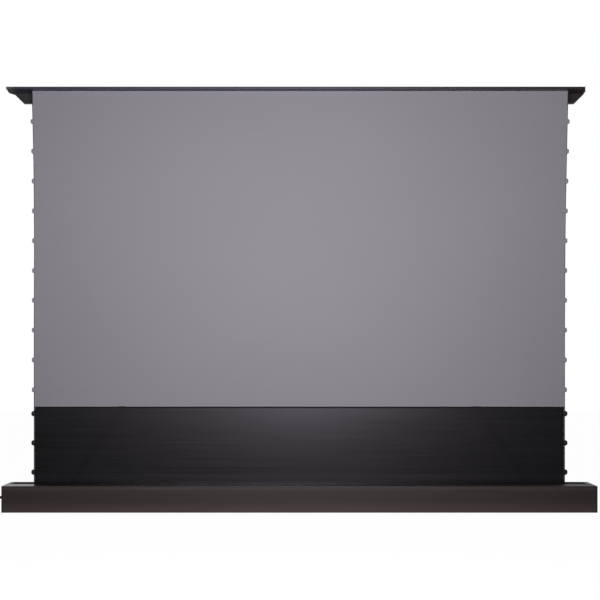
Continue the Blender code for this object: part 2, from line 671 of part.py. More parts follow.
def arm_base(side, name):
    """A foot on the housing floor with an upright plate and a stud for the lower arm."""
    x = side * PIVOT_X
    bottom = FLOOR_Z + FIT_GAP
    flange = box(
        name,
        (x - BASE_FLANGE_HALF_WIDTH, BASE_FLANGE_FRONT_Y, bottom),
        (x + BASE_FLANGE_HALF_WIDTH, BASE_FLANGE_REAR_Y, bottom + BASE_FLANGE_WALL),
    )
    plate = box(
        "plate",
        (x - BASE_PLATE_HALF_WIDTH, BASE_PLATE_FRONT_Y, bottom + BASE_FLANGE_WALL / 2),
        (x + BASE_PLATE_HALF_WIDTH, BASE_PLATE_FRONT_Y + BASE_PLATE_WALL, BASE_PIVOT_Z + BASE_PLATE_RISE),
    )
    mesh = combined(flange, plate, "UNION")
    stud_ends = (LOWER_ARM_FRONT_Y - STUD_PROUD, BASE_PLATE_FRONT_Y + BASE_PLATE_WALL / 2)
    stud = [(y, PIN_RADIUS) for y in stud_ends]
    mesh = combined(mesh, turned("stud", stud, "Y", (x, 0, BASE_PIVOT_Z)), "UNION")
    add_object(name, mesh, zinc_steel)


def folding_arms(side, side_name):
    """One lower and one upper arm, joined at the elbow; each hangs on the arm below it."""
    lean = -side * ARM_LEAN
    lower_name, upper_name = side_name + "_lower_arm", side_name + "_upper_arm"
    lower = add_object(lower_name, arm_mesh(lower_name, LOWER_ARM_FRONT_Y), arm_steel)
    lower.location = (side * PIVOT_X, 0, BASE_PIVOT_Z)
    lower.rotation_euler = (0, lean, 0)
    pin_name = side_name + "_elbow_pin"
    pin = add_object(pin_name, elbow_pin_mesh(pin_name), bright_steel)
    pin.parent = lower
    pin.location = (0, 0, ARM_LENGTH)
    upper = add_object(upper_name, arm_mesh(upper_name, UPPER_ARM_FRONT_Y), arm_steel)
    upper.parent = lower
    upper.location = (0, 0, ARM_LENGTH)
    upper.rotation_euler = (0, -2 * lean, 0)
    return upper


def add_pivot(name, place):
    """An empty on a joint's axis; its place in the world is kept for the pieces that it carries."""
    pivot = bpy.data.objects.new(name, None)
    bpy.context.scene.collection.objects.link(pivot)
    pivot_places[name] = Vector(place)
    return pivot


# The model

for old in list(bpy.data.objects):
    bpy.data.objects.remove(old)

pivot_places = {}
anodised_black = make_material("anodised_black", (0.042, 0.036, 0.034), 0.38, 0.6)
moulded_black = make_material("moulded_black", (0.030, 0.028, 0.027), 0.55)
rubber = make_material("rubber", (0.018, 0.018, 0.018), 0.8)
zinc_steel = make_material("zinc_steel", (0.62, 0.62, 0.60), 0.4, 1.0)
bright_steel = make_material("bright_steel", (0.60, 0.60, 0.60), 0.25, 1.0)
plain_aluminium = make_material("plain_aluminium", (0.66, 0.67, 0.68), 0.35, 1.0)
arm_steel = make_material("arm_steel", (0.035, 0.034, 0.034), 0.5)
grey_cloth = make_material("grey_cloth", (0.285, 0.275, 0.295), 0.6)
black_cloth = make_material("black_cloth", (0.018, 0.017, 0.018), 0.6)
cord_black = make_material("cord_black", (0.05, 0.05, 0.055), 0.6)

housing()
feet()
power_inlet()
motor()
for side, side_name in ((-1, "left"), (1, "right")):
    end_cap(side, side_name + "_end_cap")
    roller_bracket(side, side_name + "_roller_bracket")
    arm_base(side, side_name + "_arm_base")
    tension_cord(side, side_name + "_tension_cord")

roller_pivot = add_pivot("roller_pivot", (0, ROLLER_Y, ROLLER_Z))
roller_pivot.location = pivot_places["roller_pivot"]
roller(roller_pivot)

cloth("black_drop", ROLLER_Z, SEAM_Z - FIT_GAP, black_cloth)
cloth("screen_fabric", SEAM_Z, LID_UNDERSIDE_Z - FIT_GAP, grey_cloth)
tabs()

left_upper_arm = folding_arms(-1, "left")
folding_arms(1, "right")

lid_pivot = add_pivot("lid_pivot", (-PIVOT_X, 0, LID_PIVOT_Z))
lid_pivot.parent = left_upper_arm
lid_pivot.location = (0, 0, ARM_LENGTH)
lid_pivot.rotation_euler = (0, ARM_LEAN, 0)
lid_plate(lid_pivot)
lid_beam(lid_pivot)
left_reaches = (-LEFT_CAP_FRONT, -LEFT_CAP_SIDE, -LEFT_CAP_REAR)
right_reaches = (RIGHT_CAP_FRONT, RIGHT_CAP_SIDE, RIGHT_CAP_REAR)
lid_cap("left_lid_cap", LID_LEFT_X - FIT_GAP, left_reaches, LEFT_CAP_CORNER_Y, lid_pivot)
lid_cap("right_lid_cap", LID_RIGHT_X + FIT_GAP, right_reaches, RIGHT_CAP_CORNER_Y, lid_pivot)
lid_bracket(-1, "left", lid_pivot)
lid_bracket(1, "right", lid_pivot)
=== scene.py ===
"""Looks of the floor-rising projection screen: finishes, the stretched cloths and the fine shapes."""

import json
import math

import bmesh
import bpy
import numpy as np
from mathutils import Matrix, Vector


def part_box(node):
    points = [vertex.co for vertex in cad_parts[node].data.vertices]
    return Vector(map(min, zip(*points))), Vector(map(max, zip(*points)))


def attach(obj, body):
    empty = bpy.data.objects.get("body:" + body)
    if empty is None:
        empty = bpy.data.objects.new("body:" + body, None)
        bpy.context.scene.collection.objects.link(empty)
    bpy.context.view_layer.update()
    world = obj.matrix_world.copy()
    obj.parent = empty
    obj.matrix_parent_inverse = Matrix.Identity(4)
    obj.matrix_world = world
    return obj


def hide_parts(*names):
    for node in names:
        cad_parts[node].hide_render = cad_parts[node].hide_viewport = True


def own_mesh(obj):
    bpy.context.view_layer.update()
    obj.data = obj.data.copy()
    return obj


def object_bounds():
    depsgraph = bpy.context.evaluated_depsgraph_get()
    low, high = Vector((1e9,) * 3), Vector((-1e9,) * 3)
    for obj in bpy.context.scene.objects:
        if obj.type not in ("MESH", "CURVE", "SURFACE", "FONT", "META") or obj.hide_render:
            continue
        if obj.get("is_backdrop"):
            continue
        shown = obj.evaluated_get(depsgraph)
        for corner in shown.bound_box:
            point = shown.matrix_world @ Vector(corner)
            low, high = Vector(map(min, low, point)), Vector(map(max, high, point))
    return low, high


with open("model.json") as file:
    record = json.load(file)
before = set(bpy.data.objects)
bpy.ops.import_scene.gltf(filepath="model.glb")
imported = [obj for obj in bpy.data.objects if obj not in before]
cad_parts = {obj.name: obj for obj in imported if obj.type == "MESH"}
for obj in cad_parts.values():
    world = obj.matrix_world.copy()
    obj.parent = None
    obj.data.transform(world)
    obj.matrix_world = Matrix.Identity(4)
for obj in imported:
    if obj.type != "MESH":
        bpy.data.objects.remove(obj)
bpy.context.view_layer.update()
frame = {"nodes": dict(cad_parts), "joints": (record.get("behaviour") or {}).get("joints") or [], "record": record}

# Camera, worked out from the photograph: level, straight on, with the horizon low in the picture
CAMERA_DISTANCE = 4.750
CAMERA_HEIGHT = 0.629
CAMERA_SIDE = 0.004
CAMERA_LENS = 68.34
CAMERA_SENSOR = 36.0
CAMERA_SHIFT_UP = 0.1

# Cloth, in metres, and the number of points across it
CLOTH_THICKNESS = 0.0005
CLOTH_COLUMNS = 90
HALF_WIDTH = 1.1038
TOP_FLARE = 0.0119
TOP_FLARE_START = 0.955
MIDDLE_X = 0.0015
MIDDLE_DRIFT = 0.0030
DRIFT_START = 0.805
DRIFT_END = 1.455
SCALLOP = 0.00015
RIPPLE = 0.00022
RIPPLE_REACH = 0.10
RIPPLE_END = 0.05
WELT_HEIGHT = 0.0075
WELT_PROUD = 0.0007
WELT_CORNER = 0.0012
WELT_EDGE_ROUND = 0.0003

# Cords and tabs, in metres, and the numbers of points along and around a cord
CORD_RADIUS = 0.0018
CORD_OFFSET = 0.0020
CORD_RINGS = 90
CORD_FACETS = 12
BLACK_TAB_REACH = 0.0138
GREY_TAB_REACH = 0.0116
TAB_ROOT = 0.034
TAB_TIP = 0.0125
TAB_DEPTH = 0.0052
TAB_CORNER = 0.0050
TAB_EDGE_ROUND = 0.0011
TAB_FLANGE = 0.010
TAB_FLANGE_WALL = 0.0012
TAB_FLANGE_HEIGHT = 0.020
TAB_FLANGE_CORNER = 0.0010
TAB_FLANGE_EDGE_ROUND = 0.0004
TOUCH = 0.0003

# Arms, lid, pins and screws, in metres
ARM_WIDTH = 0.028
ARM_EDGE_ROUND = 0.0022
LID_WALL = 0.0016
LID_EDGE_ROUND = 0.0018
LID_INNER_ROUND = 0.0006
CAP_CORNER = 0.0022
CAP_EDGE_ROUND = 0.0014
PIN_HEAD = 0.0027
PIN_KEEPER = 0.0014
PIN_BEVEL = 0.0008
PIN_SHANK_RADIUS = 0.006
PIN_KEEPER_RADIUS = 0.0085
GROOVE_INNER_RADIUS = 0.0028
GROOVE_MIDDLE_RADIUS = 0.0034
GROOVE_OUTER_RADIUS = 0.0040
GROOVE_DEPTH = 0.0012
DISH_RADIUS = 0.0050
DISH_FLOOR_RADIUS = 0.0044
DISH_DEPTH = 0.0006
SCREW_INSET = 0.014
SCREW_PROFILE = [
    (-0.0004, 0.0034),
    (0.0004, 0.0034),
    (0.0012, 0.0026),
    (0.0015, 0.0016),
    (0.0009, 0.0013),
    (0.0004, 0.0012),
]

# Heights: the painted highlight band along the housing's upper edge, its top face, the seam between the two
# cloths, the crease in the black cloth, and the lid's underside
HIGHLIGHT_BAND_Z = 0.1008
TOP_FACE_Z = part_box("housing")[1][2]
SEAM_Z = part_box("black_drop")[1][2]
CREASE_Z = 0.155
LID_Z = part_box("lid_plate")[0][2]

# Numbers of tabs on one side, counted from the frame
TABS_A_SIDE = sum(name.startswith("tab_left_") for name in frame["nodes"])
BLACK_TABS = sum(
    row["material_slot"] == "black_cloth" and row["node"].startswith("tab_left_")
    for row in frame["record"]["subparts"]
)

# The two sides with their direction along X, and the angle in degrees from which an edge shows sharp
SIDES = (("left", -1), ("right", 1))
SHARP_ANGLE = 40.0

# Colours of the housing's top face and of the cords' dyed length
TOP_FACE_DARK = (0.010, 0.008, 0.008)
DYED_BLACK = (0.004, 0.004, 0.005)

# Studio
FLOOR_REACH = 9.0
FLOOR_GREY = (0.12, 0.12, 0.12)
FLOOR_GLOW = 1.22
FLOOR_GLOW_SHARE = 0.80
ROOM_LEVEL = 0.03
BACKDROP_LEVEL = 0.9
LAMP_DISTANCE = 2.7


# Materials


def shader_material(name, colour, roughness, metallic=0.0):
    """A Principled material and its node tree."""
    material = bpy.data.materials.new(name)
    material.use_nodes = True
    shader = material.node_tree.nodes["Principled BSDF"]
    shader.inputs["Base Color"].default_value = (*colour, 1.0)
    shader.inputs["Roughness"].default_value = roughness
    shader.inputs["Metallic"].default_value = metallic
    return material, material.node_tree, shader


def place_on(tree, source, stretch):
    """Object or UV coordinates, stretched along each axis so that a pattern gets its grain."""
    mapping = tree.nodes.new("ShaderNodeMapping")
    mapping.inputs["Scale"].default_value = stretch
    if source == "UV":
        uv = tree.nodes.new("ShaderNodeUVMap")
        uv.uv_map = "cloth"
        tree.links.new(uv.outputs["UV"], mapping.inputs["Vector"])
    else:
        coordinates = tree.nodes.new("ShaderNodeTexCoord")
        tree.links.new(coordinates.outputs["Object"], mapping.inputs["Vector"])
    return mapping.outputs["Vector"]


def place_axis(tree, source, axis):
    """One Object or UV coordinate as a value in metres."""
    axes = tree.nodes.new("ShaderNodeSeparateXYZ")
    tree.links.new(place_on(tree, source, (1.0, 1.0, 1.0)), axes.inputs["Vector"])
    return axes.outputs[axis]


def grain(tree, vector, scale, detail=3.0, roughness=0.55):
    """Noise from 0 to 1."""
    noise = tree.nodes.new("ShaderNodeTexNoise")
    noise.inputs["Scale"].default_value = scale
    noise.inputs["Detail"].default_value = detail
    noise.inputs["Roughness"].default_value = roughness
    tree.links.new(vector, noise.inputs["Vector"])
    return noise.outputs["Fac"]


def spread_out(tree, value, low, high, from_low=0.25, from_high=0.75):
    """Spreads a value over a wanted range, and holds it level beyond both ends."""
    remap = tree.nodes.new("ShaderNodeMapRange")
    remap.inputs["From Min"].default_value = from_low
    remap.inputs["From Max"].default_value = from_high
    remap.inputs["To Min"].default_value = low
    remap.inputs["To Max"].default_value = high
    tree.links.new(value, remap.inputs["Value"])
    return remap.outputs["Result"]


def between(tree, factor, first, second):
    """A colour between two colours; either may be a socket."""
    mix = tree.nodes.new("ShaderNodeMix")
    mix.data_type = "RGBA"
    tree.links.new(factor, mix.inputs["Factor"])
    for name, colour in (("A", first), ("B", second)):
        socket = [s for s in mix.inputs if s.name == name and s.type == "RGBA"][0]
        if isinstance(colour, tuple):
            socket.default_value = (*colour, 1.0)
        else:
            tree.links.new(colour, socket)
    return [s for s in mix.outputs if s.type == "RGBA"][0]


def combined_value(tree, operation, first, second):
    """Two values put together by a maths operation; the second may be a number."""
    node = tree.nodes.new("ShaderNodeMath")
    node.operation = operation
    tree.links.new(first, node.inputs[0])
    if isinstance(second, (int, float)):
        node.inputs[1].default_value = second
    else:
        tree.links.new(second, node.inputs[1])
    return node.outputs["Value"]


def raise_surface(tree, shader, height, strength, distance):
    """Bump from a height value."""
    bump = tree.nodes.new("ShaderNodeBump")
    bump.inputs["Strength"].default_value = strength
    bump.inputs["Distance"].default_value = distance
    tree.links.new(height, bump.inputs["Height"])
    tree.links.new(bump.outputs["Normal"], shader.inputs["Normal"])


def screen_cloth(name, dark, light, roughness, opacity=1.0, sheen_tint=(1.0, 1.0, 1.0), crease_z=None):
    """Coated screen cloth: fine level ribs, long level streaks and a fine weave grain.

    With crease_z it is a little rougher below that height, and rubbed smooth where it leaves the slot.
    """
    material, tree, shader = shader_material(name, dark, roughness)
    streaks = grain(tree, place_on(tree, "UV", (1.6, 110.0, 1.0)), 1.0, 4.0, 0.6)
    clouds = grain(tree, place_on(tree, "UV", (1.0, 1.4, 1.0)), 1.3, 2.0, 0.5)
    both = combined_value(tree, "ADD", streaks, clouds)
    shade = spread_out(tree, both, 0.0, 1.0, 0.5, 1.5)
    tree.links.new(between(tree, shade, dark, light), shader.inputs["Base Color"])
    ribs = tree.nodes.new("ShaderNodeTexWave")
    ribs.wave_type = "BANDS"
    ribs.bands_direction = "Y"
    ribs.inputs["Scale"].default_value = 150.0
    ribs.inputs["Distortion"].default_value = 0.6
    ribs.inputs["Detail Scale"].default_value = 3.0
    tree.links.new(place_on(tree, "UV", (1.0, 1.0, 1.0)), ribs.inputs["Vector"])
    weave = grain(tree, place_on(tree, "UV", (900.0, 1400.0, 1.0)), 1.0, 2.0, 0.5)
    height = combined_value(tree, "ADD", ribs.outputs["Fac"], weave)
    raise_surface(tree, shader, height, 0.12, 0.0002)
    rough = spread_out(tree, streaks, roughness - 0.03, roughness + 0.04)
    shader.inputs["Alpha"].default_value = opacity
    shader.inputs["Specular Tint"].default_value = (*sheen_tint, 1.0)
    if crease_z:
        up = place_axis(tree, "UV", "Y")
        creased = spread_out(tree, up, 0.035, 0.0, crease_z - 0.001, crease_z + 0.001)
        rubbed = spread_out(tree, up, -0.09, 0.0, TOP_FACE_Z + 0.006, TOP_FACE_Z + 0.026)
        rough = combined_value(tree, "ADD", rough, combined_value(tree, "ADD", creased, rubbed))
    tree.links.new(rough, shader.inputs["Roughness"])
    return material


def anodised_finish(name, dark, light, shaded_right_end=None, painted_light_colour=None):
    """Satin anodised extrusion: grain drawn along X, faint blotches and a slightly uneven gloss.

    Given a colour for the right end, its colour drifts to that one on the way to the right: painted shade,
    away from the light at the left. Given a pale colour, it is painted paler towards the floor, standing in
    for light bounced up from the floor, and along the rounded upper edge as a painted highlight; its top
    face is dark, glossy at the left and duller towards the right.
    """
    roughness = 0.36
    material, tree, shader = shader_material(name, dark, roughness)
    drawn = grain(tree, place_on(tree, "Object", (2.0, 420.0, 420.0)), 1.0, 4.0, 0.6)
    blotch = grain(tree, place_on(tree, "Object", (1.0, 3.0, 5.0)), 1.6, 3.0, 0.55)
    both = combined_value(tree, "ADD", drawn, blotch)
    shade = spread_out(tree, both, 0.0, 1.0, 0.6, 1.4)
    colour = between(tree, shade, dark, light)
    gloss = spread_out(tree, drawn, roughness - 0.05, roughness + 0.06)
    along = place_axis(tree, "Object", "X")
    # Painted shade: the colour drifts darker towards the right end, away from the light at the left.
    if shaded_right_end:
        rightward = spread_out(tree, along, 0.0, 1.0, 0.1, 1.0)
        colour = between(tree, rightward, colour, shaded_right_end)
    if painted_light_colour:
        height = place_axis(tree, "Object", "Z")
        # Painted light: paler towards the floor, standing in for light bounced up from the floor.
        low = spread_out(tree, height, 0.85, 0.0, 0.003, HIGHLIGHT_BAND_Z / 2)
        # Painted highlight: a pale band along the rounded upper edge, where the edge catches the light.
        from_band = combined_value(tree, "SUBTRACT", height, HIGHLIGHT_BAND_Z)
        off_band = combined_value(tree, "ABSOLUTE", from_band, 0.0)
        painted_highlight = spread_out(tree, off_band, 0.42, 0.0, 0.001, 0.007)
        colour = between(tree, combined_value(tree, "MAXIMUM", low, painted_highlight), colour, painted_light_colour)
        on_top = spread_out(tree, height, 0.0, 1.0, TOP_FACE_Z - 0.0008, TOP_FACE_Z - 0.0002)
        colour = between(tree, on_top, colour, TOP_FACE_DARK)
        duller = spread_out(tree, along, -0.04, 0.26, -1.1, 1.1)
        gloss = combined_value(tree, "ADD", gloss, combined_value(tree, "MULTIPLY", on_top, duller))
    tree.links.new(colour, shader.inputs["Base Color"])
    tree.links.new(gloss, shader.inputs["Roughness"])
    raise_surface(tree, shader, drawn, 0.10, 0.0001)
    return material


def moulded_finish(name, dark, light, roughness):
    """Moulded plastic with a fine spark-eroded grain."""
    material, tree, shader = shader_material(name, dark, roughness)
    cells = tree.nodes.new("ShaderNodeTexVoronoi")
    cells.inputs["Scale"].default_value = 1100.0
    tree.links.new(place_on(tree, "Object", (1.0, 1.0, 1.0)), cells.inputs["Vector"])
    patches = grain(tree, place_on(tree, "Object", (1.0, 1.0, 1.0)), 30.0, 3.0)
    colour = between(tree, spread_out(tree, patches, 0.0, 1.0), dark, light)
    tree.links.new(colour, shader.inputs["Base Color"])
    tree.links.new(spread_out(tree, patches, roughness - 0.05, roughness + 0.05), shader.inputs["Roughness"])
    raise_surface(tree, shader, cells.outputs["Distance"], 0.25, 0.0002)
    return material


def plated_finish(name, dark, light, roughness):
    """Zinc or bright steel: metal with cloudy spangle and fine scratches."""
    material, tree, shader = shader_material(name, dark, roughness, 1.0)
    clouds = grain(tree, place_on(tree, "Object", (1.0, 1.0, 1.0)), 60.0, 4.0, 0.65)
    scratches = grain(tree, place_on(tree, "Object", (900.0, 60.0, 60.0)), 1.0, 2.0)
    colour = between(tree, spread_out(tree, clouds, 0.0, 1.0), dark, light)
    tree.links.new(colour, shader.inputs["Base Color"])
    tree.links.new(spread_out(tree, clouds, roughness - 0.08, roughness + 0.08), shader.inputs["Roughness"])
    raise_surface(tree, shader, scratches, 0.12, 0.0001)
    return material


def braided_finish(name, dark, light, black_to):
    """A braided cord: two crossing spirals of strands, read from the cord's own UV map.

    Below the height black_to it is dyed black.
    """
    material, tree, shader = shader_material(name, dark, 0.7)
    strands = []
    for turn in (1.0, -1.0):
        wave = tree.nodes.new("ShaderNodeTexWave")
        wave.bands_direction = "DIAGONAL"
        wave.inputs["Scale"].default_value = 1.0
        tree.links.new(place_on(tree, "UV", (3.0 * turn, 160.0, 1.0)), wave.inputs["Vector"])
        strands.append(wave.outputs["Fac"])
    crossing = combined_value(tree, "MULTIPLY", strands[0], strands[1])
    dyed = spread_out(tree, place_axis(tree, "UV", "Y"), 1.0, 0.0, black_to - 0.004, black_to + 0.004)
    colour = between(tree, dyed, between(tree, crossing, dark, light), DYED_BLACK)
    tree.links.new(colour, shader.inputs["Base Color"])
    raise_surface(tree, shader, crossing, 0.4, 0.0003)
    return material


# Shapes


def finished_mesh(name, points, polygons, uv=None):
    """A mesh from arrays of points and polygons; its faces turn round if its volume comes out negative."""
    mesh = bpy.data.meshes.new(name)
    mesh.from_pydata(points.reshape(-1, 3).tolist(), [], polygons)
    if uv is not None:
        layer = mesh.uv_layers.new(name="cloth")
        corners = np.zeros(len(mesh.loops), np.int32)
        mesh.loops.foreach_get("vertex_index", corners)
        layer.data.foreach_set("uv", uv.reshape(-1, 2)[corners].astype(np.float32).ravel())
    shell = bmesh.new()
    shell.from_mesh(mesh)
    if shell.calc_volume(signed=True) < 0:
        bmesh.ops.reverse_faces(shell, faces=shell.faces)
        shell.to_mesh(mesh)
    shell.free()
    mesh.shade_smooth()
    mesh.set_sharp_from_angle(angle=math.radians(SHARP_ANGLE))
    return mesh


def show_piece(name, mesh, material, body, nodes, back_material=None):
    """Puts a finished mesh in the scene, on its body, in place of its CAD nodes."""
    mesh.materials.append(material)
    if back_material:
        mesh.materials.append(back_material)
    piece = bpy.data.objects.new(name, mesh)
    bpy.context.scene.collection.objects.link(piece)
    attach(piece, body)
    if nodes:
        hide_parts(*nodes)
    return piece


def grid_faces(rows, columns, start=0, closed_rows=False, closed_columns=False):
    """Quads between neighbouring points of a grid that is stored row by row."""
    r = np.arange(rows if closed_rows else rows - 1)[:, None]
    c = np.arange(columns if closed_columns else columns - 1)[None, :]
    r_next, c_next = (r + 1) % rows, (c + 1) % columns
    quads = np.stack(
        [r * columns + c, r * columns + c_next, r_next * columns + c_next, r_next * columns + c], axis=-1
    )
    return (quads.reshape(-1, 4) + start).tolist()


def slab(front, back):
    """Two grids of points as one closed sheet: both faces, and a rim that joins their borders."""
    rows, columns = front.shape[:2]
    count = rows * columns
    index = np.arange(count).reshape(rows, columns)
    border = np.concatenate([index[0, :-1], index[:-1, -1], index[-1, :0:-1], index[:0:-1, 0]])
    following = np.roll(border, -1)
    rim = np.stack([following, border, border + count, following + count], axis=-1).tolist()
    back_faces = [face[::-1] for face in grid_faces(rows, columns, count)]
    return np.concatenate([front, back]), grid_faces(rows, columns) + back_faces + rim


def rounded_outline(corners, radius, steps=6):
    """A convex outline whose corners are arcs, and its outward normals.

    Each arc's centre lies on the corner's bisector, radius over the sine of the half angle away, and its
    points turn evenly from one side's foot point to the next side's.
    """
    corners = np.asarray(corners, float)
    toward = np.roll(corners, 1, axis=0) - corners
    onward = np.roll(corners, -1, axis=0) - corners
    toward /= np.linalg.norm(toward, axis=1, keepdims=True)
    onward /= np.linalg.norm(onward, axis=1, keepdims=True)
    half = np.arccos(np.clip((toward * onward).sum(axis=1), -1, 1))[:, None] / 2
    bisector = (toward + onward) / np.linalg.norm(toward + onward, axis=1, keepdims=True)
    centre = corners + bisector * radius / np.sin(half)
    start = corners + toward * radius / np.tan(half) - centre
    end = corners + onward * radius / np.tan(half) - centre
    sweep = (math.pi - 2 * half)[:, :, None]
    t = np.linspace(0, 1, steps)[None, :, None]
    spokes = np.sin((1 - t) * sweep) * start[:, None] + np.sin(t * sweep) * end[:, None]
    spokes /= np.sin(sweep)
    points = centre[:, None] + spokes
    return points.reshape(-1, 2), spokes.reshape(-1, 2) / radius


def rounded_plate(outline, normals, low, high, edge, steps=4):
    """A plate with rounded edges: at each face the outline draws in along its normals by a quarter circle.

    The points are (ring, point, 3) with the outline first and the height last; the faces close both ends.
    """
    quarter = np.linspace(0, math.pi / 2, steps)
    drawn_in = edge * (1 - np.sin(quarter))
    risen = edge * (1 - np.cos(quarter))
    insets = np.concatenate([drawn_in, drawn_in[::-1]])
    heights = np.concatenate([low + risen, high - risen[::-1]])
    flat = outline[None] - insets[:, None, None] * normals[None]
    points = np.concatenate([flat, np.broadcast_to(heights[:, None, None], flat[..., :1].shape)], axis=-1)
    rings, count = points.shape[:2]
    ends = [list(range(count))[::-1], list(range((rings - 1) * count, rings * count))]
    return points, grid_faces(rings, count, closed_columns=True) + ends


def lathe(profile, place, axis, steps=40):
    """A turned piece: each (along, radius) of the profile goes once round the axis; the ends close."""
    along, radius = np.asarray(profile, float).T
    angle = np.linspace(0, math.tau, steps, endpoint=False)
    across = radius[:, None] * np.cos(angle)[None]
    up = radius[:, None] * np.sin(angle)[None]
    length = np.broadcast_to(along[:, None], across.shape)
    order = {"X": (length, across, up), "Y": (across, length, up)}[axis]
    points = np.stack(order, axis=-1) + np.asarray(place, float)
    count = len(profile)
    ends = [list(range(steps)), list(range((count - 1) * steps, count * steps))[::-1]]
    return points, [face[::-1] for face in grid_faces(count, steps, closed_columns=True)] + ends


def hollow_bar(outer, inner, low, high):
    """An open-ended tube along X: the outer outline out and the inner one back, joined at both ends."""
    rings = [(outer, low), (outer, high), (inner, high), (inner, low)]
    points = np.stack([np.column_stack([np.full(len(o), x), o]) for o, x in rings])
    return points, grid_faces(4, len(outer), closed_rows=True, closed_columns=True)


def many(parts):
    """Several shapes as one list of points and polygons."""
    points, polygons, start = [], [], 0
    for shape, faces in parts:
        points.append(shape.reshape(-1, 3))
        polygons += [[corner + start for corner in face] for face in faces]
        start += len(points[-1])
    return np.concatenate(points), polygons


# Cloth, cords and tabs


def edge_x(z):
    """Half the cloth's width at a height: even below, and wider by a square curve towards the lid."""
    top = np.clip((z - TOP_FLARE_START) / (LID_Z - TOP_FLARE_START), 0, 1)
    return HALF_WIDTH + TOP_FLARE * top**2


def middle_x(z):
    """The cloth's middle at a height: it drifts a little to the right on the way up."""
    return MIDDLE_X + MIDDLE_DRIFT * np.clip((z - DRIFT_START) / (DRIFT_END - DRIFT_START), 0, 1)


def tab_places(side):
    """Heights of the tabs' middles on one side, from their solids, lowest first."""
    boxes = [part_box(f"tab_{side}_{number:02d}") for number in range(1, TABS_A_SIDE + 1)]
    return np.array([(low[2] + high[2]) / 2 for low, high in boxes])


def cloth_grid(low, high, columns, rows, tab_heights):
    """Points of a stretched cloth.

    x runs evenly from edge to edge, z evenly from bottom to top. The edge draws in by the square of the
    distance from the nearest tab, apart from the last half pitch under the top. y is a cosine that goes
    through one wave for each tab; it fades by the square of what is left of RIPPLE_REACH away from the
    edge, and evenly over RIPPLE_END to nothing at the bottom and at the top.
    """
    z = np.linspace(low, high, rows)
    nearest = np.abs(z[:, None] - tab_heights[None]).min(axis=1)
    pitch = np.diff(tab_heights).mean()
    bow = SCALLOP * np.clip(nearest / (pitch / 2), 0, 1) ** 2
    share = np.linspace(-1, 1, columns)
    half = edge_x(z) - bow * (z < high - pitch / 2)
    x = share[None, :] * half[:, None]
    from_edge = half[:, None] - np.abs(x)
    fade = np.clip(1 - from_edge / RIPPLE_REACH, 0, 1) ** 2
    wave = np.cos(nearest / pitch * math.tau)[:, None]
    held = np.clip(np.minimum(z - low, high - z) / RIPPLE_END, 0, 1)[:, None]
    y = RIPPLE * wave * fade * held
    return np.stack([x + middle_x(z)[:, None], y, np.broadcast_to(z[:, None], x.shape)], axis=-1)


def make_cloth(name, node, rows, material, back_material):
    """One of the two cloths: a thin closed sheet that stands where its solid stands."""
    low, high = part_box(node)
    middle = cloth_grid(low[2], high[2], CLOTH_COLUMNS, rows, tab_places("left"))
    shift = np.array([0.0, CLOTH_THICKNESS / 2, 0.0])
    points, polygons = slab(middle - shift, middle + shift)
    uv = points[..., [0, 2]]
    mesh = finished_mesh(name, points, polygons, uv)
    piece = show_piece(name, mesh, material, "housing", [node], back_material)
    front_faces = (rows - 1) * (CLOTH_COLUMNS - 1)
    index = np.zeros(len(mesh.polygons), np.int32)
    index[front_faces : 2 * front_faces] = 1
    mesh.polygons.foreach_set("material_index", index)
    return piece


def make_welt(material):
    """The welded lap under the seam: a low band with a rounded section along the top of the black cloth."""
    low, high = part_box("black_drop")
    top = high[2] - TOUCH
    half = HALF_WIDTH - SCALLOP
    left, right = MIDDLE_X - half, MIDDLE_X + half
    corners = [(left, top - WELT_HEIGHT), (right, top - WELT_HEIGHT), (right, top), (left, top)]
    outline, normals = rounded_outline(corners, WELT_CORNER, 4)
    face = -CLOTH_THICKNESS / 2 - TOUCH - RIPPLE
    flat, polygons = rounded_plate(outline, normals, face - WELT_PROUD, face, WELT_EDGE_ROUND, 3)
    points = flat[..., [0, 2, 1]]
    mesh = finished_mesh("seam_welt", points, polygons, points[..., [0, 2]])
    return show_piece("seam_welt", mesh, material, "housing", [])


def tab_shape(reach):
    """A tab about the cloth's edge, reaching out along +X: the rounded clip and its flange on the back."""
    root, tip = TAB_ROOT / 2, TAB_TIP / 2
    clip = [(TOUCH, -root), (reach, -tip), (reach, tip), (TOUCH, root)]
    outline, normals = rounded_outline(clip, TAB_CORNER, 7)
    body, body_faces = rounded_plate(outline, normals, -TAB_DEPTH / 2, TAB_DEPTH / 2, TAB_EDGE_ROUND, 4)
    tall = TAB_FLANGE_HEIGHT / 2
    flange = [(-TAB_FLANGE, -tall), (4 * TOUCH, -tall), (4 * TOUCH, tall), (-TAB_FLANGE, tall)]
    outline, normals = rounded_outline(flange, TAB_FLANGE_CORNER, 4)
    near = CLOTH_THICKNESS / 2 + TOUCH + RIPPLE
    far = near + TAB_FLANGE_WALL
    lap, lap_faces = rounded_plate(outline, normals, near, far, TAB_FLANGE_EDGE_ROUND, 3)
    points, polygons = many([(body, body_faces), (lap, lap_faces)])
    return points[:, [0, 2, 1]], polygons


def make_tabs(side_name, side, first, last, reach, material):
    """A run of tabs on one edge, each turned to the slope of the edge there."""
    shape, faces = tab_shape(reach)
    z = tab_places(side_name)[first - 1 : last]
    step = 0.001
    lean = np.arctan((edge_x(z + step) - edge_x(z - step)) / (2 * step))[:, None]
    across = shape[None, :, 0] * np.cos(lean) + shape[None, :, 2] * np.sin(lean)
    up = -shape[None, :, 0] * np.sin(lean) + shape[None, :, 2] * np.cos(lean)
    depth = np.broadcast_to(shape[None, :, 1], across.shape)
    x = middle_x(z)[:, None] + side * (across + edge_x(z)[:, None])
    placed = np.stack([x, depth, up + z[:, None]], axis=-1)
    points, polygons = many([(tab, faces) for tab in placed])
    name = f"{side_name}_tabs_{first:02d}_to_{last:02d}"
    nodes = [f"tab_{side_name}_{number:02d}" for number in range(first, last + 1)]
    mesh = finished_mesh(name, points, polygons, points[:, [0, 2]])
    return show_piece(name, mesh, material, "housing", nodes)


